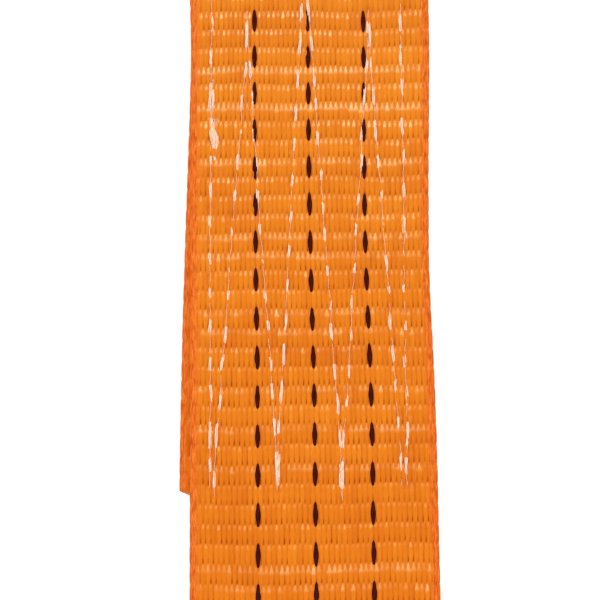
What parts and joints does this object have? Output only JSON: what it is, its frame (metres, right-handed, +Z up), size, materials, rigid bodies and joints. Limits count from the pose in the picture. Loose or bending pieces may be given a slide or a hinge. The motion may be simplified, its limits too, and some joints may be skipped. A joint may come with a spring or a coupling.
{
  "type": "endless webbing sling",
  "caption": "Endless flat lifting sling: one strip of orange woven webbing with black tracer yarns, lapped and sewn in a zigzag, with a blank label in the seam.",
  "frame": {"origin": "the centre of the top bight, on the axis of the hook or pin that it hangs from", "axes": "+X across the webbing, +Z up along the loop, and the sewn lap is on the leg at -Y, facing -Y"},
  "size_m": [0.05, 0.0964, 0.4659],
  "materials": {
    "webbing": "woven polyester, satin",
    "tracer": "dyed polyester yarn",
    "sewing_thread": "twisted polyester",
    "label": "coated polyester tape",
    "label_thread": "polyester thread"
  },
  "bodies": {
    "sling": {"label_stub": "label", "left_back_tack_thread": "sewing_thread", "left_side_bobbin_thread": "sewing_thread", "left_side_needle_thread": "sewing_thread", "right_side_bobbin_thread": "sewing_thread", "right_side_needle_thread": "sewing_thread", "tracer_yarn_centre": "tracer", "tracer_yarn_left": "tracer", "tracer_yarn_right": "tracer", "webbing_loop": "webbing", "zigzag_bobbin_thread": "sewing_thread", "zigzag_needle_thread": "sewing_thread"},
    "label": {"label_hem_thread": "label_thread", "label_leaf": "label"}
  },
  "joints": [
    {"name": "label_flap", "type": "hinge", "parent": "sling", "child": "label", "pos_m": [0, -0.04106, -0.26205], "axis": [1, 0, 0], "range_deg": [0, 85]}
  ]
}
